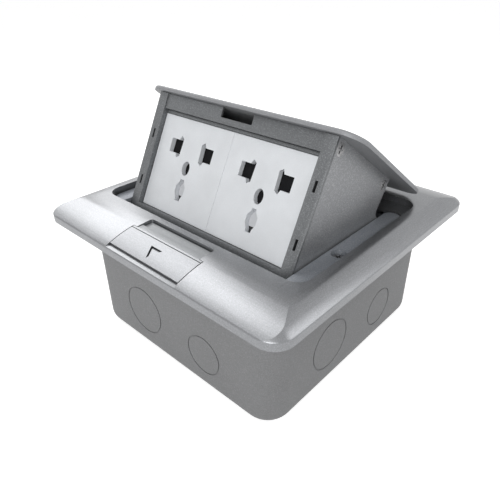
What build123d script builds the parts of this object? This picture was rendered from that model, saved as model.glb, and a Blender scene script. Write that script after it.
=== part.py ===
from build123d import *
import os
from math import cos, radians, sin

# Pop-up floor socket box, shown open.
# X runs to the right, -Y is the side with the release button, Z is up.
# The origin is the middle of the back box's underside. Sizes are in mm.
# The pop-up is drawn shut, then swung up about its hinge to the open position.

# Trim frame, the cast aluminium surround that lies on the floor
trim_size = 145.0
trim_corner = 9.0
trim_band = 3.5
trim_rise = 4.6
edge_soft = 0.9
front_rim = 27.1
rear_rim = 28.5
side_rim = 12.0
crown_run = 22.5
opening_corner = 6.5
trim_wall = 2.4
rear_shelf = 9.8
shelf_wall = 2.0
gasket_inset = 3.0
gasket_width = 4.2
gasket_height = 2.0

# Back box, pressed steel
box_inset = 13.0
box_height = 60.7
box_wall = 1.5
box_corner = 12.0
box_floor_corner = 7.0
knockout_large = 12.5
knockout_small = 10.0
score_width = 0.7
score_depth = 0.35
fixing_hole = 2.6
fixing_spacing = 70.0

# Pop-up
open_angle = 34.9
lid_thickness = 2.0
lid_gap = 0.7
lid_corner = 10.0
lid_swing_gap = 1.0
module = 45.0
frame_side = 5.6
face_lean = 7.7
face_setback = 2.5
face_wall = 1.2
face_length = 59.0
heel_run = 21.6
header_height = 7.25
header_recess = 0.8
module_top = 9.0
plate_recess = 2.4
notch_half = 9.0
notch_height = 4.6
side_wall = 2.0
cover_wall = 2.5
module_depth = 24.0

# Hinge
hinge_setback = 2.2
boss_radius = 6.0
pin_radius = 2.5
bracket_wall = 2.0
spring_wire = 1.1
spring_turns = 3

# Support frame and its ledges
support_drop = 3.0
support_wall = 3.0
ledge_top_drop = 2.9
ledge_groove = 1.3
ledge_rear = 33.0
mount_screw_y = -14.0
mount_head = 3.0

# Release button and latch
button_half = 22.0
button_front = 2.7
button_depth = 12.8
deck_half = 19.6
deck_depth = 8.0
deck_rib = 3.2
release_travel = 2.5
tongue_half = 6.5
tongue_height = 1.6
tongue_reach = 4.05

# Clearances
side_gap = 0.6
slide_gap = 0.1
part_gap = 0.15
pin_gap = 0.05
thread_gap = 0.05

# Worked-out places
half_trim = trim_size / 2
half_box = half_trim - box_inset
box_inside = half_box - box_wall
trim_base = box_height
band_top = trim_base + trim_band
crest = band_top + trim_rise
open_front = -half_trim + front_rim
open_rear = half_trim - rear_rim
open_half = half_trim - side_rim
lid_under = crest - lid_thickness
lid_front = open_front + lid_gap
lid_rear = open_rear - rear_shelf - lid_gap
lid_half = open_half - lid_gap
pop_half = module + frame_side
ledge_top = crest - ledge_top_drop
ledge_inner = pop_half + side_gap
ledge_outer = open_half - ledge_groove
support_top = trim_base - support_drop
support_base = support_top - support_wall
swing = radians(open_angle)
hinge_y = open_rear + hinge_setback
lid_behind = hinge_y - lid_rear
hinge_drop = (lid_behind * sin(swing) - lid_thickness - lid_swing_gap) / (1 - cos(swing))
hinge_z = lid_under - hinge_drop
face_top_y = open_front + face_setback
lean = radians(face_lean)
arm_top = hinge_z + boss_radius
heel_y = lid_rear - heel_run


def block(x0, x1, y0, y1, z0, z1):
    """A box between two corners."""
    return Pos((x0 + x1) / 2, (y0 + y1) / 2, (z0 + z1) / 2) * Box(x1 - x0, y1 - y0, z1 - z0)


def slab(half_x, y0, y1, z0, z1, corner):
    """A plate with rounded corners, centred in X."""
    outline = Pos(0, (y0 + y1) / 2, z0) * RectangleRounded(2 * half_x, y1 - y0, corner)
    return extrude(outline, z1 - z0)


def rod(x, y, z0, z1, radius):
    """An upright cylinder."""
    return Pos(x, y, (z0 + z1) / 2) * Cylinder(radius, z1 - z0)


def cross_rod(x0, x1, y, z, radius):
    """A cylinder along X."""
    return Pos((x0 + x1) / 2, y, z) * Rot(0, 90, 0) * Cylinder(radius, abs(x1 - x0))


def outline_plate(points, x0, x1):
    """A plate whose outline is given as Y, Z points, between two places in X."""
    face = make_face(Polyline(*[(0, y, z) for y, z in points], close=True))
    return Pos(x0, 0, 0) * extrude(face, x1 - x0, dir=(1, 0, 0))


def mirrored(shape):
    """The same piece on the left-hand side."""
    return mirror(shape, about=Plane.YZ)


def cross_cut(radius, depth):
    """The cross recess of a screw head, cut downwards from Z = 0."""
    arm = Box(radius * 1.2, radius * 0.28, 2 * depth)
    return arm + Rot(0, 0, 90) * arm


def pan_screw(radius, head_radius, head_height, length):
    """A pan-head screw with its head above Z = 0 and its shank below."""
    head = rod(0, 0, 0, head_height, head_radius)
    head = fillet(head.edges().group_by(Axis.Z)[-1], head_height * 0.45)
    head -= Pos(0, 0, head_height) * cross_cut(head_radius, head_height * 0.5)
    return head + rod(0, 0, -length, 0, radius)


def flat_screw(radius, head_radius, length):
    """A countersunk screw with the top of its head at Z = 0."""
    sink = head_radius - radius
    head = Pos(0, 0, -sink / 2) * Cone(radius, head_radius, sink)
    head -= cross_cut(head_radius, sink * 0.6)
    return head + rod(0, 0, -length, -sink, radius)


def sink_hole(radius, head_radius, length):
    """The hole for a countersunk screw."""
    sink = head_radius - radius
    cone = Pos(0, 0, -sink / 2) * Cone(radius + thread_gap, head_radius + thread_gap, sink)
    return cone + rod(0, 0, -length, 1, radius + thread_gap)


def swung(shape):
    """Swing a pop-up piece from shut to open about the hinge."""
    return shape.rotate(Axis((0, hinge_y, hinge_z), (1, 0, 0)), -open_angle)


def save(shape, name):
    """Write one piece to its own file."""
    export_step(shape, os.path.join("parts", name + ".step"))


# Trim frame
def crown_section(half, run):
    """The bullnose section across the trim, from one outer edge to the other."""
    flat = half - run
    lines = [
        Line((-half, trim_base), (-half, band_top)),
        TangentArc((-flat, crest), (-half, band_top), tangent=(-1, 0)),
        Line((-flat, crest), (flat, crest)),
        TangentArc((flat, crest), (half, band_top), tangent=(1, 0)),
        Line((half, band_top), (half, trim_base)),
        Line((half, trim_base), (-half, trim_base)),
    ]
    face = make_face(lines)
    shoulders = [v for v in face.vertices() if abs(v.Y - band_top) < 0.01]
    return fillet(shoulders, edge_soft)


def crown_body():
    """The trim's outside as a solid: two crossed bullnose sections, mitred where they meet."""
    across = extrude(Plane.YZ * crown_section(half_trim, crown_run), half_trim, both=True)
    side_section = crown_section(half_trim, side_rim)
    along = extrude(Plane.XZ * side_section, half_trim, both=True)
    body = across & along
    centre = half_trim - trim_corner
    post_face = side_section & Pos(centre + trim_corner, crest) * Rectangle(2 * trim_corner, 4 * crest)
    post = revolve(Plane.XZ * Pos(-centre, 0) * post_face, Axis.Z)
    corner = block(0, trim_corner + 1, 0, trim_corner + 1, trim_base - 1, crest + 1) - post
    for turn in range(4):
        body -= Rot(0, 0, 90 * turn) * Pos(centre, centre, 0) * corner
    return body


boss_x = pop_half - 11.0
boss_front_y = open_front - 6.6
boss_rear_y = open_rear + 8.4
boss_body = 3.6
boss_cap = 1.4
screw_blind = trim_wall + 2.0
pocket_front = -half_trim + 9.0
pocket_half = open_half + 1.5
slot_half = button_half + 0.4
deck_slot_half = deck_half + 0.4
button_rear = -half_trim + button_front + button_depth
deck_rear = button_rear + deck_depth
tongue_top = crest - 3.8
tongue_base = tongue_top - tongue_height
tongue_tip = open_front + tongue_reach
guide_screw_x = button_half + 5.0
guide_screw_y = button_rear + 2.0
guide_wall = 1.2
guide_boss = 2.8
slider_base = trim_base + guide_wall + 2 * slide_gap
slider_plate = 2.2
slider_top = slider_base + slider_plate
guide_top = slider_base - slide_gap
fixing_screw_radius = 1.5
fixing_head_radius = 2.8
fixing_head_height = 1.6
crown = crown_body()


def make_trim_frame():
    body = crown
    body -= slab(open_half, open_front, open_rear - rear_shelf, 0, crest + 1, opening_corner)
    body -= slab(open_half, open_front, open_rear, ledge_top, crest + 1, opening_corner)
    under_shelf = block(
        -open_half + trim_wall, open_half - trim_wall,
        open_rear - rear_shelf - 1, open_rear, 0, ledge_top - shelf_wall,
    )
    body -= under_shelf
    hollow = Pos(0, 0, -trim_wall) * crown
    front_pocket = block(-pocket_half, pocket_half, pocket_front, open_front - trim_wall, 0, crest)
    rear_pocket = block(-pocket_half, pocket_half, open_rear + trim_wall, -pocket_front, 0, crest)
    body -= hollow & (front_pocket + rear_pocket)
    groove_out = half_trim - gasket_inset
    groove_in = groove_out - gasket_width - 2 * part_gap
    ring = slab(groove_out, -groove_out, groove_out, 0, trim_base + gasket_height + part_gap, trim_corner - gasket_inset)
    ring -= slab(groove_in, -groove_in, groove_in, 0, crest, trim_corner - 2 * gasket_inset)
    body -= ring
    for x in (-boss_x, boss_x):
        for y in (boss_front_y, boss_rear_y):
            body += rod(x, y, support_top, crest - boss_cap, boss_body)
            body -= rod(x, y, 0, crest - screw_blind, fixing_screw_radius + thread_gap)
    for x in (-guide_screw_x, guide_screw_x):
        body += rod(x, guide_screw_y, guide_top, crest - boss_cap, guide_boss)
        body -= rod(x, guide_screw_y, 0, crest - screw_blind, fixing_screw_radius + thread_gap)
    sill = band_top + 0.1
    body -= block(-slot_half, slot_half, -half_trim - 1, button_rear + 0.2, sill, crest + 1)
    body -= block(-slot_half, slot_half, pocket_front, button_rear + 0.2, support_top, crest + 1)
    deck_slot = slab(deck_slot_half, button_rear - 4, deck_rear + 0.5, slider_top, crest + 1, 1.2)
    body -= deck_slot
    body -= block(
        -tongue_half - 0.4, tongue_half + 0.4,
        deck_rear - 2, open_front + 1, tongue_base - 0.3, tongue_top + 0.3,
    )
    return body


def make_gasket():
    outer = half_trim - gasket_inset - part_gap
    inner = outer - gasket_width
    ring = slab(outer, -outer, outer, trim_base, trim_base + gasket_height, trim_corner - gasket_inset)
    return ring - slab(inner, -inner, inner, trim_base - 1, crest, trim_corner - 2 * gasket_inset)


# Back box
lug_top = support_base - 0.3
mount_screw_x = ledge_outer - mount_head - 0.6
mount_sink = 3.6
mount_shank = 2.0


def knockout_ring(radius):
    """The scored ring of a knock-out, sunk into the face at Z = 0."""
    return Pos(0, 0, -score_depth / 2) * (
        Cylinder(radius, score_depth) - Cylinder(radius - score_width, score_depth)
    )


def make_back_box():
    body = slab(half_box, -half_box, half_box, 0, box_height, box_corner)
    body = fillet(body.edges().group_by(Axis.Z)[0], box_floor_corner)
    inner = slab(box_inside, -box_inside, box_inside, box_wall, box_height + 1, box_corner - box_wall)
    inner = fillet(inner.edges().group_by(Axis.Z)[0], box_floor_corner - box_wall)
    body -= inner
    knockouts = [(-20.0, 24.0, knockout_large), (21.0, 21.0, knockout_small)]
    for side in range(4):
        for across, height, radius in knockouts:
            ring = Pos(across, -half_box, height) * Rot(90, 0, 0) * knockout_ring(radius)
            body -= Rot(0, 0, 90 * side) * ring
    body -= Rot(180, 0, 0) * knockout_ring(knockout_large)
    for x in (-fixing_spacing / 2, fixing_spacing / 2):
        for y in (-fixing_spacing / 2, fixing_spacing / 2):
            body -= rod(x, y, -1, box_wall + 1, fixing_hole)
    return body


def make_box_lugs():
    """Bent steel tabs welded inside the side walls, tapped for the mounting screws."""
    half_width = 5.0
    tab = block(
        ledge_inner + 0.4, box_inside,
        mount_screw_y - half_width, mount_screw_y + half_width, lug_top - 2.0, lug_top,
    )
    leg = block(
        box_inside - 1.6, box_inside,
        mount_screw_y - half_width, mount_screw_y + half_width, lug_top - 14.0, lug_top,
    )
    lug = tab + leg - rod(mount_screw_x, mount_screw_y, 0, lug_top + 1, mount_shank + thread_gap)
    return Compound(children=[lug, mirrored(lug)])


def make_mount_screws():
    screw = pan_screw(mount_shank, mount_head - 0.1, 2.0, ledge_top - mount_sink - lug_top + 6.0)
    screw = Pos(mount_screw_x, mount_screw_y, ledge_top - mount_sink) * screw
    return Compound(children=[screw, mirrored(screw)])


earth_x = 30.0
earth_y = 30.0


def make_earth_terminal():
    """The brass earth post in the floor of the back box, with its clamp washer."""
    post = rod(earth_x, earth_y, box_wall, box_wall + 5.0, 3.5)
    return post - rod(earth_x, earth_y, box_wall + 1.0, box_wall + 6.0, 1.75 + thread_gap)


def make_earth_screw():
    return Pos(earth_x, earth_y, box_wall + 5.0) * pan_screw(1.75, 3.4, 2.0, 3.6)


# Support frame
def make_support_frame():
    outer = box_inside - 0.3
    inner_rear = hinge_y - 3.1
    inner_front = open_front + 0.9
    ring = slab(outer, -outer, outer, support_base, support_top, box_corner - box_wall - 0.3)
    ring -= slab(ledge_inner, inner_front, inner_rear, 0, crest, 2.0)
    ledge_front = open_front + ledge_groove
    centre_x = (ledge_inner + ledge_outer) / 2
    centre_y = (ledge_front + ledge_rear) / 2
    plan = Rectangle(ledge_outer - ledge_inner, ledge_rear - ledge_front)
    corners = plan.vertices()
    plan = fillet(corners.group_by(Axis.Y)[-1], 3.9)
    front_outer = plan.vertices().group_by(Axis.Y)[0].sort_by(Axis.X)[-1]
    plan = fillet(front_outer, opening_corner - ledge_groove)
    ledge = extrude(Pos(centre_x, centre_y, support_top - 0.5) * plan, ledge_top - support_top + 0.5)
    ledge -= block(outer, ledge_outer + 1, -half_box, half_box, 0, trim_base + 0.02)
    for y0, y1 in ((-36.0, -24.0), (-4.0, 24.0)):
        ledge -= block(ledge_inner + 2, ledge_outer - 3, y0, y1, 0, ledge_top - 2.0)
    ledge -= rod(mount_screw_x, mount_screw_y, ledge_top - mount_sink, crest, mount_head + 0.35)
    body = ring + ledge + mirrored(ledge)
    for x in (-mount_screw_x, mount_screw_x):
        body -= rod(x, mount_screw_y, 0, crest, mount_shank + 0.2)
    for x in (-boss_x, boss_x):
        for y in (boss_front_y, boss_rear_y):
            body -= rod(x, y, 0, crest, fixing_screw_radius + 0.15)
    for x in (-bracket_screw_x, bracket_screw_x):
        for y in bracket_screw_y:
            body -= rod(x, y, 0, support_top - 0.6, 1.25 + thread_gap)
    return body


def make_trim_screws():
    screw = Rot(180, 0, 0) * pan_screw(fixing_screw_radius, fixing_head_radius, fixing_head_height, 9.0)
    places = [(x, y) for x in (-boss_x, boss_x) for y in (boss_front_y, boss_rear_y)]
    return Compound(children=[Pos(x, y, support_base) * screw for x, y in places])


# Hinge
bracket_inner = pop_half + 0.8
bracket_outer = bracket_inner + bracket_wall
bracket_rear = hinge_y + 8.4
flange_front = hinge_y - 3.0
flange_inner = pop_half - side_wall - 5.0
bracket_screw_x = pop_half - side_wall
bracket_screw_y = (hinge_y - 0.6, hinge_y + 4.6)
coil_radius = pin_radius + 0.5 + spring_wire / 2
coil_pitch = spring_wire + 0.2
pop_inside = pop_half - side_wall
coil_outer_x = pop_inside - 0.35 - spring_wire / 2
coil_angle = 360 * spring_turns - open_angle
coil_inner_x = coil_outer_x - coil_pitch * coil_angle / 360
clip_outer_x = coil_inner_x - spring_wire / 2 - 0.3
spring_tab_y = hinge_y + boss_radius + 0.4
spring_tab_z = hinge_z + coil_radius + spring_wire / 2 + 0.15


def make_hinge_bracket():
    """The right-hand bracket: an upright ear, a screw flange, and a tab that holds the spring."""
    ear = block(bracket_inner, bracket_outer, hinge_y - boss_radius, bracket_rear, hinge_z, support_base)
    ear += cross_rod(bracket_inner, bracket_outer, hinge_y, hinge_z, boss_radius)
    ear += block(bracket_inner, bracket_outer, hinge_y, bracket_rear, hinge_z - boss_radius, hinge_z)
    flange = block(
        flange_inner, bracket_outer, flange_front, bracket_rear, support_base - bracket_wall, support_base
    )
    tab = block(
        coil_inner_x - 1.0, bracket_outer, spring_tab_y, bracket_rear, spring_tab_z, spring_tab_z + 1.6
    )
    body = ear + flange + tab
    body -= cross_rod(bracket_inner - 1, bracket_outer + 1, hinge_y, hinge_z, pin_radius + 0.02)
    for y in bracket_screw_y:
        hole = Pos(bracket_screw_x, y, support_base - bracket_wall) * Rot(180, 0, 0) * sink_hole(1.25, 2.2, 5)
        body -= hole
    return body


def make_bracket_screws():
    screw = Rot(180, 0, 0) * flat_screw(1.25, 2.2, bracket_wall + 2.2)
    places = [(x, y) for x in (-bracket_screw_x, bracket_screw_x) for y in bracket_screw_y]
    return Compound(children=[Pos(x, y, support_base - bracket_wall) * screw for x, y in places])


def make_hinge_pin():
    head = cross_rod(bracket_outer, bracket_outer + 1.4, hinge_y, hinge_z, pin_radius + 1.4)
    shank = cross_rod(clip_outer_x - 1.8, bracket_outer, hinge_y, hinge_z, pin_radius)
    groove = cross_rod(clip_outer_x - 0.9, clip_outer_x, hinge_y, hinge_z, pin_radius + 1)
    groove -= cross_rod(clip_outer_x - 0.9, clip_outer_x, hinge_y, hinge_z, pin_radius - 0.5)
    return head + shank - groove


def make_pin_clip():
    """A spring clip in the groove at the pin's inner end."""
    ring = cross_rod(clip_outer_x - 0.85, clip_outer_x - 0.05, hinge_y, hinge_z, pin_radius + 1.2)
    ring -= cross_rod(clip_outer_x - 1, clip_outer_x + 1, hinge_y, hinge_z, pin_radius - 0.45)
    return ring - block(
        clip_outer_x - 1, clip_outer_x + 1, hinge_y - 1.4, hinge_y + 1.4, hinge_z - boss_radius, hinge_z
    )


def make_pivot_washer():
    ring = cross_rod(pop_half + 0.15, bracket_inner - 0.05, hinge_y, hinge_z, pin_radius + 2.2)
    return ring - cross_rod(pop_half - 1, bracket_inner + 1, hinge_y, hinge_z, pin_radius + pin_gap)


def make_torsion_spring():
    """Round wire coiled on the hinge pin: one leg lies under the bracket's tab, one under the arm's."""
    height = coil_outer_x - coil_inner_x
    coil = Helix(coil_pitch, height, coil_radius, direction=(0, 0, 1))
    wire = sweep(
        Plane(coil @ 0, z_dir=coil % 0) * Circle(spring_wire / 2), path=coil, is_frenet=True
    )
    start = Plane(origin=(coil_inner_x, hinge_y, hinge_z), x_dir=(0, 0, 1), z_dir=(1, 0, 0))
    coil_solid = start.location * wire
    fixed_leg = Pos(coil_inner_x, (hinge_y + bracket_rear) / 2, hinge_z + coil_radius) * Rot(90, 0, 0)
    fixed = fixed_leg * Cylinder(spring_wire / 2, bracket_rear - hinge_y)
    length = 16.0
    moving = Pos(coil_outer_x, hinge_y - length / 2, hinge_z + coil_radius) * Rot(90, 0, 0)
    moving = swung(moving * Cylinder(spring_wire / 2, length))
    joint = Pos(coil_outer_x, hinge_y, hinge_z + coil_radius) * Sphere(spring_wire / 2 + 0.03)
    return coil_solid + fixed + swung(joint) + moving


# Pop-up, drawn shut
face_plane = Plane(
    origin=(0, face_top_y, lid_under), x_dir=(1, 0, 0), z_dir=(0, -cos(lean), -sin(lean))
)


def on_face(shape):
    """Place a shape drawn on the pop-up's front: X right, Y up from the lid, Z outwards."""
    return face_plane.location * shape


def face_block(x0, x1, down0, down1, deep0, deep1):
    """A box on the front, by its distances down from the lid and in from the front."""
    return on_face(block(x0, x1, -down1, -down0, -deep1, -deep0))


def face_point(down, deep):
    """Y and Z of a point on the shut pop-up, down the front and in from it."""
    y = face_top_y + down * sin(lean) + deep * cos(lean)
    z = lid_under - down * cos(lean) + deep * sin(lean)
    return y, z


header_back = header_recess + face_wall
lug_reach = 4.0
lug_front = face_point(0, header_back)[0] + 1.2
side_screw_front = face_point(4.4, 4.1)
side_screw_rear = (heel_y - 3.8, lid_under - 4.4)
side_screws = (side_screw_front, side_screw_rear)
screw_shank = 1.5
screw_head = 2.75
lug_depth = 6.2
lug_inner = pop_inside - 6.0


def make_lid_plate():
    body = slab(lid_half, lid_front, lid_rear, lid_under, crest, lid_corner)
    body = fillet(body.edges().group_by(Axis.Z)[-1], 0.8)
    for y, z in side_screws:
        front = max(y - lug_reach, lug_front)
        lug = block(lug_inner, pop_inside - 0.02, front, y + lug_reach, lid_under - lug_depth, lid_under)
        lug -= cross_rod(lug_inner - 1, pop_half, y, z, screw_shank + thread_gap)
        body += lug + mirrored(lug)
    return body


def make_side_plate():
    """The right-hand cheek: a steel plate with an arm that reaches back to the hinge."""
    top = lid_under - 0.05
    y_top, _ = face_point(0.05, face_wall + 0.05)
    y_low, z_low = face_point(face_length - 1.0, face_wall + 0.05)
    low_rear = (y_low + 24.0, z_low + 1.5)
    knee = (hinge_y - 30.0, hinge_z - 11.0)
    points = [
        (y_top, top), (heel_y, top), (heel_y, arm_top), (hinge_y, arm_top),
        (hinge_y, hinge_z - boss_radius), knee, low_rear, (y_low, z_low),
    ]
    plate = outline_plate(points, pop_inside, pop_half)
    heel = [e for e in plate.edges().filter_by(Axis.X) if abs(e.center().Y - heel_y) < 0.1]
    plate = fillet([e for e in heel if e.center().Z < top - 1], 3.0)
    plate += cross_rod(pop_inside, pop_half, hinge_y, hinge_z, boss_radius)
    tab = block(
        coil_outer_x - 1.2, pop_inside, hinge_y - 15.0, hinge_y - 10.5,
        spring_tab_z, arm_top,
    )
    plate += tab
    plate -= cross_rod(pop_inside - 1, pop_half + 1, hinge_y, hinge_z, pin_radius + pin_gap)
    for y, z in side_screws:
        plate -= Pos(pop_half, y, z) * Rot(0, 90, 0) * sink_hole(screw_shank, screw_head, 5)
    return plate


def make_side_screws():
    screw = Rot(0, 90, 0) * flat_screw(screw_shank, screw_head, 7.0)
    solids = []
    for y, z in side_screws:
        right = Pos(pop_half, y, z) * screw
        solids += [right, mirrored(right)]
    return Compound(children=[swung(s) for s in solids])


window_half = module + 0.1
module_base = module_top + module
rail = 1.6
rail_depth = 6.0
clip_slot_half = 2.25
clip_slot_width = 1.2
clip_offset = 11.5


def make_face_frame():
    """The bezel that carries both socket modules, with the catch notch in its header."""
    half = window_half + rail
    body = face_block(-pop_half, pop_half, 0.25, face_length, 0, face_wall)
    body += face_block(
        -half, half, header_height, module_base + rail + 0.1, face_wall - 0.5, rail_depth,
    )
    body -= face_block(-window_half, window_half, module_top - 0.1, module_base + 0.1, -1, rail_depth + 1)
    body += face_block(-half, half, 0.6, header_height + 0.2, header_recess / 2, header_back)
    body -= face_block(-window_half, window_half, 0, header_height, -1, header_recess)
    body -= face_block(-window_half, window_half, header_height, module_top, -1, plate_recess + 0.8)
    body -= face_block(-notch_half, notch_half, -1, notch_height, -1, header_back + 1)
    middle = (module_top + module_base) / 2
    for side in (-1, 1):
        x = side * (module + frame_side / 2)
        for offset in (-clip_offset, clip_offset):
            body -= face_block(
                x - clip_slot_width / 2, x + clip_slot_width / 2,
                middle + offset - clip_slot_half, middle + offset + clip_slot_half, -1, 1.4,
            )
    return body


# Socket modules
hole_spacing = 19.0
pin_row = 13.5
earth_top_row = 22.0
earth_low_row = 31.0


def pin_hole(mirror_x):
    """One live or neutral hole: a square mouth joined to a tall blade slot with pointed ends."""
    side = -1 if mirror_x else 1
    mouth = Pos(side * -1.2, 0) * Rectangle(6.4, 6.4)
    blade = make_face(Polyline(
        (side * 1.6, 5.2), (side * 3.4, 4.0), (side * 3.0, -4.0), (side * 1.2, -5.2),
        (side * 0.2, -3.4), (side * 0.8, 3.6), close=True,
    ))
    return mouth + blade


def earth_hole():
    """The earth hole: an oval over a vase-shaped slot."""
    oval = Ellipse(2.4, 3.3)
    vase = make_face([
        Polyline((1.2, -5.2), (1.4, -6.6), (2.9, -8.4), (2.9, -11.6), (1.5, -14.2), (1.5, -15.4),
                 (-1.5, -15.4), (-1.5, -14.2), (-2.9, -11.6), (-2.9, -8.4), (-1.4, -6.6), (-1.2, -5.2),
                 close=True),
    ])
    return oval, vase


def module_holes():
    """All holes of one module, drawn about the module's middle, Y up the face."""
    half = module / 2
    oval, vase = earth_hole()
    return [
        Pos(-hole_spacing / 2, half - pin_row) * pin_hole(False),
        Pos(hole_spacing / 2, half - pin_row) * pin_hole(True),
        Pos(0, half - earth_top_row) * oval,
        Pos(0, half - earth_top_row) * vase,
    ]


body_front = plate_recess + cover_wall + 3.0
body_rear = plate_recess + module_depth
cavity_wall = 1.6
shutter_front = plate_recess + cover_wall + 0.2
shutter_back = shutter_front + 1.6


def module_location(side):
    """The middle of one module on the face, at the front of its cover."""
    return Pos(side * module / 2, -(module_top + module / 2), -plate_recess)


def make_socket_cover(side):
    half = module / 2 - 0.05
    plate = Pos(0, 0, -cover_wall / 2) * Box(2 * half, 2 * half, cover_wall)
    plate = fillet(plate.faces().sort_by(Axis.Z)[-1].edges(), 0.4)
    skirt = Pos(0, 0, -cover_wall - 1.4) * (
        Box(2 * half - 0.4, 2 * half - 0.4, 2.8) - Box(2 * half - 3.4, 2 * half - 3.4, 4)
    )
    plate += skirt
    for hole in module_holes():
        plate -= Pos(0, 0, -cover_wall - 1) * extrude(hole, cover_wall + 2)
    return on_face(module_location(side) * plate)


def contact_places():
    """The three contact pockets of a module: place across, place up, width and height."""
    half = module / 2
    return {
        "live": (-hole_spacing / 2, half - pin_row),
        "neutral": (hole_spacing / 2, half - pin_row),
        "earth": (0.0, half - earth_low_row),
    }


contact_half = 4.2
contact_height = 5.0
contact_depth = 12.0
contact_wall = 0.8
contact_front = body_front - plate_recess + 1.6


def make_socket_body(side):
    """The moulded housing behind a cover, with a pocket for each contact."""
    half = module / 2 - 1.0
    front = body_front - plate_recess
    rear = body_rear - plate_recess
    body = Pos(0, 0, -(front + rear) / 2) * Box(2 * half, 2 * half, rear - front)
    body = fillet(body.edges().filter_by(Axis.Z), 2.0)
    for x, y in contact_places().values():
        pocket = Box(2 * contact_half + 0.6, 2 * contact_height + 0.6, rear - front)
        body -= Pos(x, y, -(front + rear) / 2 + 2.0) * pocket
        body -= Pos(x, y, -rear) * Box(4.0, 4.0, 6.0)
    return on_face(module_location(side) * body)


def make_contact(side, name):
    """A folded brass contact: two springy blades on a base, with a terminal block behind."""
    x, y = contact_places()[name]
    depth0 = contact_front
    depth1 = contact_front + contact_depth
    blades = Pos(x, y, -(depth0 + depth1) / 2) * Box(2 * contact_half, 2 * contact_height, depth1 - depth0)
    blades -= Pos(x, y, -(depth0 + depth1) / 2 + contact_wall) * Box(
        2 * (contact_half - contact_wall), 2 * contact_height + 1, depth1 - depth0
    )
    terminal = Pos(x, y, -depth1 - 3.0) * Box(3.6, 3.6, 6.2)
    terminal -= Pos(x, y, -depth1 - 3.4) * Rot(90, 0, 0) * Cylinder(1.0, 10)
    terminal -= Pos(x, y, -depth1 - 5.6) * Cylinder(0.9 + thread_gap, 3.0)
    return on_face(module_location(side) * (blades + terminal))


def make_terminal_screws():
    solids = []
    depth = contact_front + contact_depth + 6.1
    for side in (-1, 1):
        for x, y in contact_places().values():
            screw = Pos(x, y, -depth) * Rot(180, 0, 0) * pan_screw(0.9, 1.7, 1.2, 0.8)
            solids.append(swung(on_face(module_location(side) * screw)))
    return Compound(children=solids)


def make_shutter(side):
    """The sliding shutter behind a cover, with one blank for each pair of holes."""
    half = module / 2
    front = shutter_front - plate_recess
    back = shutter_back - plate_recess
    plate = Pos(0, half - pin_row, -(front + back) / 2) * Box(30.0, 11.6, back - front)
    stem = Pos(0, half - 24.0, -(front + back) / 2) * Box(7.6, 22.0, back - front)
    shutter = plate + stem
    shutter = fillet(shutter.edges().filter_by(Axis.Z), 0.7)
    return on_face(module_location(side) * shutter)


def make_shutter_spring(side):
    """A bowed leaf spring under the shutter's stem, resting on the cover's skirt."""
    half = module / 2
    depth = (shutter_front + shutter_back) / 2 - plate_recess
    low = -half + 2.0
    high = half - 35.3
    wall = 0.3
    outer = ThreePointArc((-6.0, low), (0, high), (6.0, low))
    inner = ThreePointArc((-6.0 + wall, low), (0, high - wall), (6.0 - wall, low))
    feet = [Line((x, low), (x + wall, low)) for x in (-6.0, 6.0 - wall)]
    strip = Pos(0, 0, -depth - 0.5) * extrude(make_face([outer, inner] + feet), 1.0)
    return on_face(module_location(side) * strip)


# Release button and latch
def make_release_button():
    """The button follows the rim's curve and carries a sunk arrow that points to the front."""
    front = -half_trim + button_front
    base = band_top + 0.3
    body = crown & block(-button_half, button_half, front, button_rear, base, crest + 1)
    hollow = (Pos(0, 0, -1.6) * crown) & block(
        -button_half + 1.4, button_half - 1.4, front + 3.3, button_rear - 1.2, 0, crest
    )
    body -= hollow
    for x in (-pillar_x, pillar_x):
        body += rod(x, pillar_y, slider_top, crest - 1.8, pillar_radius)
        body -= rod(x, pillar_y, 0, crest - 2.6, 1.0 + thread_gap)
    arrow = make_face(Polyline(
        (-3.3, button_rear - 5.0), (3.3, button_rear - 5.0), (0, button_rear - 10.6), close=True,
    ))
    cut = extrude(Pos(0, 0, trim_base) * arrow, 20) - Pos(0, 0, -0.6) * crown
    body -= cut
    lip = block(-button_half - 1, button_half + 1, button_rear - 1.3, button_rear - 0.9, trim_base, crest + 1)
    body -= lip - Pos(0, 0, -0.35) * crown
    return body


pillar_x = 9.0
pillar_radius = 2.0
slider_front = pocket_front + release_travel + 0.3
pillar_y = slider_front + pillar_radius + 0.1
slot_x = 14.0
slot_reach = 6.8
latch_coil = 1.1
latch_wire = 0.45
guide_tab_y = slider_front + 0.5


def make_latch_slider():
    """The sliding latch: base, ribbed deck that shows behind the button, and the tongue."""
    side = button_half
    base = block(-side, side, slider_front, deck_rear, slider_base, slider_top)
    deck = block(-deck_half, deck_half, button_rear + 0.02, deck_rear, slider_top - 0.2, crest - 1.5)
    rib = block(-deck_half, deck_half, button_rear + 0.02, button_rear + deck_rib, crest - 2.0, crest - 0.6)
    rib = fillet(rib.edges().filter_by(Axis.X).group_by(Axis.Z)[-1], 0.3)
    deck -= block(
        -deck_half + 1.6, deck_half - 1.6, button_rear + 1.4, deck_rear - 1.4, 0, crest - 3.1
    )
    tongue = block(-tongue_half, tongue_half, deck_rear - 2.0, tongue_tip, tongue_base, tongue_top)
    tongue = chamfer(tongue.edges().filter_by(Axis.X).group_by(Axis.Y)[-1].sort_by(Axis.Z)[-1], 0.7)
    body = base + deck + rib + tongue
    for x in (-slot_x, slot_x):
        body -= block(
            x - latch_coil - 0.4, x + latch_coil + 0.4,
            slider_front - 1, slider_front + slot_reach, slider_base - 1, slider_top + 1.4,
        )
    for x in (-pillar_x, pillar_x):
        body -= rod(x, pillar_y, slider_top, crest - 1.7, pillar_radius + part_gap)
        body -= rod(x, pillar_y, 0, slider_top + 1, 1.0 + 0.1)
        body -= rod(x, pillar_y, 0, slider_base + 1.3, 1.95)
    return body


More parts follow.
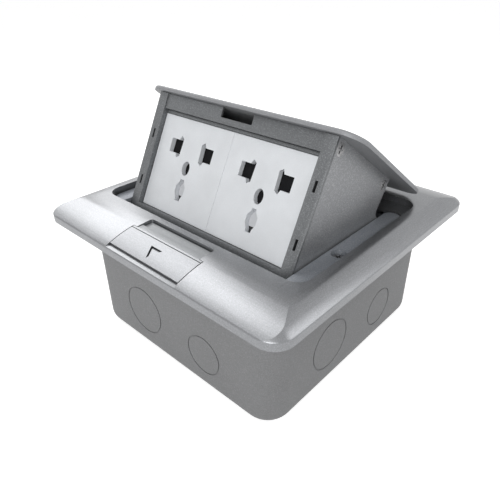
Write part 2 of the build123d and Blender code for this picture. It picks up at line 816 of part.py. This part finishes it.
def make_button_screws():
    screw = Rot(180, 0, 0) * pan_screw(1.0, 1.8, 1.1, 2.6)
    return Compound(children=[Pos(x, pillar_y, slider_base + 1.3) * screw for x in (-pillar_x, pillar_x)])


def make_latch_guide():
    """The tray under the slider, with cheeks that guide it and tabs that hold its springs."""
    cheek = 1.2
    cheek_half = button_half + 0.2
    front = pocket_front + 0.3
    rear = deck_rear - 0.6
    body = block(-guide_screw_x - 3.2, guide_screw_x + 3.2, front, rear, guide_top - guide_wall, guide_top)
    for side in (-1, 1):
        inner = side * cheek_half
        outer = side * (cheek_half + cheek)
        body += block(min(inner, outer), max(inner, outer), front, rear, guide_top, slider_top + 0.4)
        body += block(
            side * slot_x - 1.3, side * slot_x + 1.3, guide_tab_y, guide_tab_y + 1.0,
            guide_top - 0.2, slider_top + 0.1,
        )
    for x in (-guide_screw_x, guide_screw_x):
        body -= rod(x, guide_screw_y, 0, guide_top + 1, fixing_screw_radius + 0.15)
    return body


def make_guide_screws():
    screw = Rot(180, 0, 0) * pan_screw(fixing_screw_radius, 2.4, 1.2, 3.4)
    places = (-guide_screw_x, guide_screw_x)
    return Compound(children=[Pos(x, guide_screw_y, guide_top - guide_wall) * screw for x in places])


def make_latch_springs():
    """Two small compression springs that push the slider back."""
    start = guide_tab_y + 1.0 + 0.05
    end = slider_front + slot_reach - 0.05
    length = end - start - latch_wire
    radius = latch_coil - latch_wire / 2
    coil = Helix(length / 4, length, radius)
    wire = sweep(Plane(coil @ 0, z_dir=coil % 0) * Circle(latch_wire / 2), path=coil, is_frenet=True)
    centre_z = slider_base + latch_coil + 0.05
    springs = []
    for x in (-slot_x, slot_x):
        springs.append(Pos(x, start + latch_wire / 2, centre_z) * Rot(-90, 0, 0) * wire)
    return Compound(children=springs)


os.makedirs("parts", exist_ok=True)

save(make_trim_frame(), "trim_frame")
save(make_gasket(), "floor_gasket")
save(make_back_box(), "back_box")
save(make_box_lugs(), "box_lugs")
save(make_mount_screws(), "mount_screws")
save(make_earth_terminal(), "earth_terminal")
save(make_earth_screw(), "earth_screw")
save(make_support_frame(), "support_frame")
save(make_trim_screws(), "trim_screws")

hinge_pieces = {
    "hinge_bracket": make_hinge_bracket(),
    "hinge_pin": make_hinge_pin(),
    "pin_clip": make_pin_clip(),
    "pivot_washer": make_pivot_washer(),
    "torsion_spring": make_torsion_spring(),
    "side_plate": swung(make_side_plate()),
}
for piece_name, piece in hinge_pieces.items():
    save(piece, piece_name + "_right")
    save(mirrored(piece), piece_name + "_left")
save(make_bracket_screws(), "bracket_screws")

save(swung(make_lid_plate()), "lid_plate")
save(swung(make_face_frame()), "face_frame")
save(make_side_screws(), "side_screws")
for side_name, side_sign in (("left", -1), ("right", 1)):
    save(swung(make_socket_cover(side_sign)), "socket_cover_" + side_name)
    save(swung(make_socket_body(side_sign)), "socket_body_" + side_name)
    save(swung(make_shutter(side_sign)), "shutter_" + side_name)
    save(swung(make_shutter_spring(side_sign)), "shutter_spring_" + side_name)
    for contact_name in contact_places():
        contact = swung(make_contact(side_sign, contact_name))
        save(contact, contact_name + "_contact_" + side_name)
save(make_terminal_screws(), "terminal_screws")

save(make_release_button(), "release_button")
save(make_latch_slider(), "latch_slider")
save(make_button_screws(), "button_screws")
save(make_latch_guide(), "latch_guide")
save(make_guide_screws(), "guide_screws")
save(make_latch_springs(), "latch_springs")
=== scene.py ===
import bpy
from math import cos, radians, sin
from mathutils import Matrix, Vector


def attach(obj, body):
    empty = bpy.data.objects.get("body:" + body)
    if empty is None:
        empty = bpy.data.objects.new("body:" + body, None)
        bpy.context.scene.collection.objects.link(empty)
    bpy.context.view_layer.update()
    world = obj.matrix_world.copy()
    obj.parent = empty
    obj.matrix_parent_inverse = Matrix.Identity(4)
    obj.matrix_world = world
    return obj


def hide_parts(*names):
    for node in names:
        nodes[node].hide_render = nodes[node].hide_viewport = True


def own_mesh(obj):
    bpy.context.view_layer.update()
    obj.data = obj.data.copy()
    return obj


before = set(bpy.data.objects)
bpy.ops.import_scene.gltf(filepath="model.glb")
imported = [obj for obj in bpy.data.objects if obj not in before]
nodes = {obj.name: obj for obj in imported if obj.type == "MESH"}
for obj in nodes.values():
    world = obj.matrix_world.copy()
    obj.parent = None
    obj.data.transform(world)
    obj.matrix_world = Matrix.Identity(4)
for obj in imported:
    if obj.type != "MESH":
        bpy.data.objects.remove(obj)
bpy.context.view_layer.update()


# Back box: a deep tray pressed from sheet steel and sprayed matt grey, with scored
# knock-outs for conduit in its walls and floor. It is set in the floor, and the earth
# post stands in its bottom.
class Lead:
    """One output in a material. Sums written with leads add the nodes that work them out."""

    def __init__(self, tree, socket):
        self.tree = tree
        self.socket = socket

    def node(self, kind, settings, inputs, out=0):
        made = self.tree.nodes.new(kind)
        for name, value in settings.items():
            setattr(made, name, value)
        for name, value in inputs.items():
            if isinstance(value, Lead):
                self.tree.links.new(value.socket, made.inputs[name])
            else:
                made.inputs[name].default_value = value
        return Lead(self.tree, made.outputs[out])

    def part(self, name):
        """Another output of the same node."""
        return Lead(self.tree, self.socket.node.outputs[name])

    def sum(self, operation, first, second):
        return self.node("ShaderNodeMath", {"operation": operation}, {0: first, 1: second})

    def __add__(self, other):
        return self.sum("ADD", self, other)

    def __sub__(self, other):
        return self.sum("SUBTRACT", self, other)

    def __mul__(self, other):
        return self.sum("MULTIPLY", self, other)

    def __rsub__(self, other):
        return self.sum("SUBTRACT", other, self)

    def least(self, other):
        return self.sum("MINIMUM", self, other)

    __radd__ = __add__
    __rmul__ = __mul__


def new_finish(name, roughness, metallic):
    """A fresh material: gives it, its shader, and the place on the object as a lead."""
    material = bpy.data.materials.new(name)
    material.use_nodes = True
    tree = material.node_tree
    shader = tree.nodes["Principled BSDF"]
    shader.inputs["Roughness"].default_value = roughness
    shader.inputs["Metallic"].default_value = metallic
    place = Lead(tree, tree.nodes.new("ShaderNodeTexCoord").outputs["Object"])
    return material, shader, place


def grain(place, size, detail=2.0, stretch=(1, 1, 1)):
    """Cloudy noise between 0 and 1 whose lumps are about size metres across."""
    scale = [1 / (size * s) for s in stretch]
    mapped = place.node("ShaderNodeMapping", {}, {"Vector": place, "Scale": scale})
    return place.node("ShaderNodeTexNoise", {}, {"Vector": mapped, "Scale": 1.0, "Detail": detail})


def sharpen(lead, low, high):
    """Stretches the values between low and high over 0 to 1 and cuts off the rest."""
    return lead.node(
        "ShaderNodeMapRange", {"clamp": True}, {"Value": lead, "From Min": low, "From Max": high}
    )


def tint(factor, first, second):
    """Two colours, mixed by a lead. A mix node takes colours at 6 and 7 and gives one at 2."""
    inputs = {0: factor, 6: (*first, 1) if isinstance(first, tuple) else first}
    inputs[7] = (*second, 1) if isinstance(second, tuple) else second
    return factor.node("ShaderNodeMix", {"data_type": "RGBA"}, inputs, 2)


def lay_on(shader, colour=None, roughness=None, height=None, depth=0.00002, strength=0.5):
    """Joins a finish's leads to its shader. The height goes in through a bump."""
    for name, lead in (("Base Color", colour), ("Roughness", roughness)):
        if lead is not None:
            lead.tree.links.new(lead.socket, shader.inputs[name])
    if height is not None:
        bump = height.node(
            "ShaderNodeBump", {}, {"Height": height, "Distance": depth, "Strength": strength}
        )
        bump.tree.links.new(bump.socket, shader.inputs["Normal"])


def sprayed_paint(name, colour, fleck, roughness, metallic, texture):
    """Sprayed enamel on steel: fine orange peel, faint clouds and bright metal flecks."""
    material, shader, place = new_finish(name, roughness, metallic)
    peel = grain(place, texture)
    clouds = grain(place, 0.02, 3)
    flecks = sharpen(grain(place, texture * 0.55, 0), 0.52, 0.8)
    dark = tuple(c * 0.86 for c in colour)
    light = tuple(c * 1.1 for c in colour)
    body = tint(sharpen(clouds * 0.45 + peel * 0.55, 0.3, 0.7), dark, light)
    body = tint(flecks * 0.55, body, fleck)
    lay_on(shader, body, roughness - 0.08 + 0.16 * clouds, peel, 0.00006, 0.45)
    return material


seam_gap = 0.000004
flat_angle = radians(0.6)
sharp_angle = radians(40)


def eased_copy(name, edge, angle):
    """A copy of a piece, its seams closed and its edges smoothed, and bevelled by edge metres."""
    piece = nodes[name].copy()
    piece.data = nodes[name].data.copy()
    piece.name = name + "_finished"
    for key in list(piece.keys()):
        del piece[key]
    piece.parent = None
    bpy.context.scene.collection.objects.link(piece)
    bpy.ops.object.select_all(action="DESELECT")
    bpy.context.view_layer.objects.active = piece
    piece.select_set(True)
    if piece.data.has_custom_normals:
        bpy.ops.mesh.customdata_custom_splitnormals_clear()
    bpy.ops.object.mode_set(mode="EDIT")
    bpy.ops.mesh.select_all(action="SELECT")
    bpy.ops.mesh.remove_doubles(threshold=seam_gap)
    bpy.ops.mesh.dissolve_limited(angle_limit=flat_angle)
    bpy.ops.object.mode_set(mode="OBJECT")
    if edge:
        rounding = piece.modifiers.new("rounding", "BEVEL")
        rounding.width = edge
        rounding.segments = 2
        rounding.limit_method = "ANGLE"
        rounding.angle_limit = sharp_angle
        rounding.use_clamp_overlap = True
        bpy.ops.object.modifier_apply(modifier="rounding")
    bpy.ops.object.shade_smooth_by_angle(angle=radians(angle))
    return piece


def finish_piece(name, body, material, edge=0.0, angle=30):
    """The eased copy of a piece, in its finish, stands for the piece."""
    piece = eased_copy(name, edge, angle)
    piece.data.materials.clear()
    piece.data.materials.append(material)
    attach(piece, body)
    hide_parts(name)
    return piece


cast_bevel = 0.00012
fold_bevel = 0.00015
wire_angle = 50
mitre_angle = 12
plate_angle = 15
box_grey = (0.2, 0.202, 0.206)
box_fleck = (0.29, 0.29, 0.295)
box_paint = sprayed_paint("box_paint", box_grey, box_fleck, 0.62, 0.15, 0.0007)
finish_piece("back_box", "base", box_paint)
finish_piece("box_lugs", "base", box_paint)


# Earth post: a turned brass stud pressed into the floor of the back box, with a plated
# steel screw that clamps the earth wire. The same brass serves the contacts.
def turned_brass(name, colour):
    """Brass from the bar: soft sheen, faint turning rings and a little brown tarnish."""
    material, shader, place = new_finish(name, 0.34, 1.0)
    rings = grain(place, 0.0006, 1, (6, 6, 0.3))
    tarnish = sharpen(grain(place, 0.004, 3), 0.45, 0.75)
    worn = tuple(c * 0.6 for c in colour)
    lay_on(shader, tint(tarnish * 0.6, colour, worn), 0.28 + 0.22 * tarnish, rings, 0.00001, 0.3)
    return material


def bright_steel(name, colour, roughness):
    """Plated steel: fine drawing marks, a mottled sheen and dull spots."""
    material, shader, place = new_finish(name, roughness, 1.0)
    marks = grain(place, 0.0004, 2, (1, 5, 1))
    dull = sharpen(grain(place, 0.0015, 2), 0.4, 0.75)
    dark = tuple(c * 0.7 for c in colour)
    lay_on(shader, tint(dull, colour, dark), roughness - 0.06 + 0.18 * dull, marks, 0.00001, 0.35)
    return material


brass = turned_brass("contact_brass", (0.62, 0.42, 0.16))
screw_steel = bright_steel("screw_steel", (0.32, 0.32, 0.325), 0.3)
finish_piece("earth_terminal", "base", brass)
finish_piece("earth_screw", "base", screw_steel)


# Floor gasket: a soft black rubber ring, moulded in one piece and lying in a groove
# under the trim's edge, where it seals on the floor.
gasket_rubber, rubber_shader, rubber_place = new_finish("gasket_rubber", 0.75, 0.0)
bloom = sharpen(grain(rubber_place, 0.003, 4), 0.4, 0.8)
lay_on(
    rubber_shader, tint(bloom, (0.012, 0.012, 0.013), (0.035, 0.035, 0.036)), 0.65 + 0.2 * bloom,
    grain(rubber_place, 0.0005), 0.00003, 0.4,
)
finish_piece("floor_gasket", "base", gasket_rubber)


# Trim frame: the cast aluminium surround, its rims rounded to the floor and mitred at
# the corners. It is brushed along each rim and sprayed with a silver lacquer whose
# fine flake shows as a sparkle.
def silver_lacquer(name, colour, roughness, metallic, by_rim):
    """Silver flake lacquer over brushed aluminium. With by_rim the brushing follows each rim."""
    material, shader, place = new_finish(name, roughness, metallic)
    along_x = grain(place, 0.0004, 2, (22, 1, 1))
    along_y = grain(place, 0.0004, 2, (1, 22, 1))
    brushing = along_x
    if by_rim:
        split = place.node("ShaderNodeSeparateXYZ", {}, {"Vector": place})
        far_x = place.node("ShaderNodeMath", {"operation": "ABSOLUTE"}, {0: split.part("X")})
        far_y = place.node("ShaderNodeMath", {"operation": "ABSOLUTE"}, {0: split.part("Y")})
        mitre_blur = 0.0002
        side = sharpen(far_x - far_y, -mitre_blur, mitre_blur)
        brushing = along_x * (1 - side) + along_y * side
    flake = grain(place, 0.00042, 1)
    sparkle = sharpen(grain(place, 0.0003, 0), 0.56, 0.8)
    clouds = grain(place, 0.03, 2)
    dark = tuple(c * 0.87 for c in colour)
    light = tuple(min(1.0, c * 1.1) for c in colour)
    body = tint(sharpen(brushing * 0.3 + flake * 0.5 + clouds * 0.2, 0.36, 0.64), dark, light)
    body = tint(sparkle * 0.5, body, tuple(min(1.0, c * 1.5) for c in colour))
    lay_on(
        shader, body, roughness - 0.05 + 0.1 * brushing, flake * 0.8 + brushing * 0.2, 0.00003, 0.4
    )
    return material, shader, place, body


trim_silver, *_ = silver_lacquer("trim_silver", (0.25, 0.255, 0.265), 0.3, 0.85, True)
finish_piece("trim_frame", "base", trim_silver, angle=mitre_angle)


# Support frame: a folded steel ring under the trim, with a ledge up each side of the
# opening just under the shut lid. Sprayed a bluish grey, held to the trim by four screws
# and to the box's lugs by two.
ledge_grey = (0.22, 0.235, 0.26)
ledge_fleck = (0.4, 0.41, 0.43)
ledge_paint = sprayed_paint("ledge_paint", ledge_grey, ledge_fleck, 0.5, 0.4, 0.0006)
finish_piece("support_frame", "base", ledge_paint, fold_bevel)
for name in ("mount_screws", "trim_screws"):
    finish_piece(name, "base", screw_steel)


# Hinges: pressed zinc-plated brackets, turned pins with clips and plastic washers, and
# a torsion spring of round wire on each pin that lifts the pop-up.
zinc_plate = bright_steel("zinc_plate", (0.4, 0.4, 0.41), 0.42)
spring_wire = bright_steel("spring_wire", (0.2, 0.2, 0.21), 0.36)
for side in ("left", "right"):
    finish_piece("hinge_bracket_" + side, "base", zinc_plate)
    finish_piece("hinge_pin_" + side, "base", screw_steel)
    finish_piece("pin_clip_" + side, "base", spring_wire)
    finish_piece("torsion_spring_" + side, "base", spring_wire, angle=wire_angle)
finish_piece("bracket_screws", "base", screw_steel)


# Latch guide, springs and slider, and the hinge's washers: the guide is a pressed tray
# screwed under the front rim. The slider is moulded with a ribbed deck and sprayed
# silver grey, and the washers are grey nylon.
def moulded_plastic(name, colour, roughness, texture, depth):
    """Moulded plastic: a fine spark-eroded skin, slight shade change and a satin sheen."""
    material, shader, place = new_finish(name, roughness, 0.0)
    skin = grain(place, texture)
    shade = grain(place, 0.012, 2)
    dark = tuple(c * 0.93 for c in colour)
    light = tuple(min(1.0, c * 1.04) for c in colour)
    lay_on(
        shader, tint(sharpen(shade * 0.6 + skin * 0.4, 0.35, 0.65), dark, light),
        roughness - 0.05 + 0.1 * shade, skin, depth, 0.35,
    )
    return material


grey_nylon = moulded_plastic("grey_nylon", (0.25, 0.26, 0.28), 0.5, 0.0005, 0.00003)
finish_piece("latch_guide", "base", ledge_paint)
finish_piece("guide_screws", "base", screw_steel)
latch_springs = finish_piece("latch_springs", "base", spring_wire, angle=wire_angle)
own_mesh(latch_springs)
for side in ("left", "right"):
    finish_piece("pivot_washer_" + side, "base", grey_nylon)
finish_piece("button_screws", "release", screw_steel)
slider_colour = (0.3, 0.31, 0.32)
pale_fleck = (0.5, 0.51, 0.52)
slider_grey = sprayed_paint("slider_grey", slider_colour, pale_fleck, 0.4, 0.45, 0.0005)
finish_piece("latch_slider", "release", slider_grey)


# Release button: cut from the same silver section as the rim, so it follows the rim's
# curve. Its sunk arrow points to the front, and a near-black line painted along the arrow's rear
# and left walls is painted shade in the recess.
arrow_rear = -0.062
arrow_tip = -0.0676
arrow_half = 0.0033
line_width = 0.00045
arrow_blur = 0.0002
button_silver, button_shader, button_place, button_body = silver_lacquer(
    "button_silver", (0.24, 0.245, 0.255), 0.34, 0.8, False
)
button_split = button_place.node("ShaderNodeSeparateXYZ", {}, {"Vector": button_place})
button_across = button_split.part("X")
button_along = button_split.part("Y")
slant = arrow_half / (arrow_rear - arrow_tip)
from_tip = button_along - arrow_tip
rear_gap = arrow_rear - button_along
left_gap = button_across + slant * from_tip
right_gap = slant * from_tip - button_across
inside = left_gap.least(right_gap).least(rear_gap)
wall_gap = rear_gap.least(left_gap)
inside_mask = sharpen(inside, -arrow_blur, 0.0)
# Painted shade: a near-black line along the arrow's rear and left walls stands in for the recess's
# shadow.
arrow_painted_shade = inside_mask * (1 - sharpen(wall_gap, line_width, line_width * 1.5))
lay_on(button_shader, tint(arrow_painted_shade * 0.9, button_body, (0.02, 0.02, 0.022)))
finish_piece("release_button", "release", button_silver)


# Lid: a cast aluminium plate with round corners, in the trim's silver lacquer. It sits
# flush in the trim when shut, and lugs under it take the side plates' screws.
lid_silver, *_ = silver_lacquer("lid_silver", (0.26, 0.265, 0.275), 0.55, 0.35, False)
finish_piece("lid_plate", "pop_up", lid_silver, cast_bevel)


# Side plates: steel cheeks sprayed a metallic grey, each with an arm that runs
# back to its hinge pin. Countersunk screws hold them to the lid's lugs.
cheek_grey = (0.24, 0.245, 0.255)
cheek_paint = sprayed_paint("cheek_paint", cheek_grey, pale_fleck, 0.42, 0.6, 0.0006)
for side in ("left", "right"):
    finish_piece("side_plate_" + side, "pop_up", cheek_paint, angle=plate_angle)
finish_piece("side_screws", "pop_up", screw_steel)


# Face frame: the bezel round both sockets, cast with its sunk header and the notch
# that the latch's tongue enters, and sprayed metallic grey.
bezel_grey = (0.15, 0.156, 0.162)
bezel_fleck = (0.36, 0.37, 0.38)
bezel_paint = sprayed_paint("bezel_paint", bezel_grey, bezel_fleck, 0.44, 0.6, 0.0006)
finish_piece("face_frame", "pop_up", bezel_paint, cast_bevel)


# Socket covers: white moulded plates, 45 mm square, with square-mouthed blade holes
# and the vase-shaped earth slot, clipped into the face frame. Behind each is a black
# shutter with a pale foot, and behind that the grey body with its contacts.
cover_white = moulded_plastic("cover_white", (0.74, 0.76, 0.785), 0.34, 0.0003, 0.00001)
body_grey = moulded_plastic("body_grey", (0.3, 0.31, 0.33), 0.55, 0.0006, 0.00003)
shutter_black, shutter_shader, shutter_place = new_finish("shutter_black", 0.7, 0.0)
shutter_shader.inputs["Specular IOR Level"].default_value = 0.12
shutter_split = shutter_place.node("ShaderNodeSeparateXYZ", {}, {"Vector": shutter_place})
foot_full = 0.0803
foot_gone = 0.0806
foot = 1 - sharpen(shutter_split.part("Z"), foot_full, foot_gone)
shutter_skin = grain(shutter_place, 0.0004)
lay_on(
    shutter_shader, tint(foot, (0.008, 0.008, 0.009), (0.6, 0.61, 0.63)), 0.6 + 0.2 * shutter_skin,
    shutter_skin, 0.00002, 0.4,
)
for side in ("left", "right"):
    finish_piece("socket_cover_" + side, "pop_up", cover_white)
    finish_piece("socket_body_" + side, "pop_up", body_grey)
    finish_piece("shutter_" + side, "shutter_" + side, shutter_black)
    leaf = finish_piece(
        "shutter_spring_" + side, "pop_up", spring_wire, angle=wire_angle
    )
    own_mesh(leaf)
    for line in ("live", "neutral", "earth"):
        finish_piece(line + "_contact_" + side, "pop_up", brass)
finish_piece("terminal_screws", "pop_up", screw_steel)


# Studio: a wide pale floor that glows a little where the camera sees it, four soft lamps
# round the box with the strongest at the front right, and a white surround that mirrors
# in the metal.
floor_width = 6.0
floor_glow = 0.62
ambient_light = 0.4
bpy.ops.object.select_all(action="DESELECT")
bpy.ops.mesh.primitive_plane_add(size=floor_width, location=(0, 0, 0))
floor = bpy.context.object
floor.name = "studio_floor"
floor_paint, floor_shader, floor_place = new_finish("studio_floor", 0.9, 0.0)
floor_base = Lead(floor_place.tree, floor_shader.outputs[0])
paths = floor_place.node("ShaderNodeLightPath", {}, {})
seen = paths.part("Is Camera Ray") + paths.part("Is Glossy Ray")
floor_cloud = grain(floor_place, 0.5)
lay_on(floor_shader, tint(floor_cloud, (0.8, 0.8, 0.8), (0.82, 0.82, 0.82)))
glow = seen.node("ShaderNodeEmission", {}, {"Color": (1, 1, 1, 1), "Strength": floor_glow})
glowing_floor = seen.node("ShaderNodeAddShader", {}, {0: glow, 1: floor_base})
floor_mix = seen.node(
    "ShaderNodeMixShader", {}, {0: sharpen(seen, 0.0, 1.0), 1: floor_base, 2: glowing_floor}
)
floor_out = floor_place.tree.nodes["Material Output"]
floor_place.tree.links.new(floor_mix.socket, floor_out.inputs["Surface"])
floor.data.materials.append(floor_paint)

world = bpy.data.worlds.new("studio_world")
bpy.context.scene.world = world
world.use_nodes = True
sky_tree = world.node_tree
ambient = sky_tree.nodes["Background"]
ambient.inputs["Color"].default_value = (1, 1, 1, 1)
ambient.inputs["Strength"].default_value = ambient_light
sky_path = Lead(sky_tree, sky_tree.nodes.new("ShaderNodeLightPath").outputs["Is Camera Ray"])
sky_seen = sky_path + sky_path.part("Is Glossy Ray") + sky_path.part("Is Transmission Ray")
white = sky_path.node("ShaderNodeBackground", {}, {"Color": (1, 1, 1, 1), "Strength": 1.0})
sky = sky_path.node(
    "ShaderNodeMixShader", {},
    {0: sharpen(sky_seen, 0.0, 1.0), 1: Lead(sky_tree, ambient.outputs[0]), 2: white},
)
sky_tree.links.new(sky.socket, sky_tree.nodes["World Output"].inputs["Surface"])

lamp_aim = Vector((0, 0, 0.06))
lamps = (
    ("key_lamp", (-0.56, 0.12, 0.5), 0.36, 1.4),
    ("top_lamp", (-0.27, 0.02, 0.56), 0.16, 0.3),
    ("fill_lamp", (0.3, -0.62, 0.45), 0.45, 2.9),
    ("back_lamp", (0.55, 0.35, 0.5), 0.4, 1.0),
)
for name, place, size, power in lamps:
    bpy.ops.object.light_add(type="AREA", location=place)
    lamp = bpy.context.object
    lamp.name = name
    lamp.data.size = size
    lamp.data.energy = power
    lamp.rotation_euler = (lamp_aim - Vector(place)).to_track_quat("-Z", "Y").to_euler()


# Camera: stands at the right of the release button and looks down on the box, as the
# photograph was taken, with a slight roll.
camera_place = Vector((0.14321, -0.16048, 0.17013))
camera_turn = radians(42.938)
camera_height = radians(31.433)
camera_roll = radians(-0.584)
flat = cos(camera_height)
back = Vector((sin(camera_turn) * flat, -cos(camera_turn) * flat, sin(camera_height)))
right = Vector((0, 0, 1)).cross(back).normalized()
up = back.cross(right)
rolled_right = cos(camera_roll) * right + sin(camera_roll) * up
rolled_up = cos(camera_roll) * up - sin(camera_roll) * right
bpy.ops.object.camera_add(location=camera_place)
camera = bpy.context.object
camera.name = "photo_camera"
camera.data.lens = 35.25
camera.data.sensor_width = 36
camera.data.clip_start = 0.01
turned = Matrix((rolled_right, rolled_up, back)).transposed()
camera.matrix_world = Matrix.Translation(camera_place) @ turned.to_4x4()
bpy.context.scene.camera = camera
bpy.context.scene.view_settings.view_transform = "Standard"
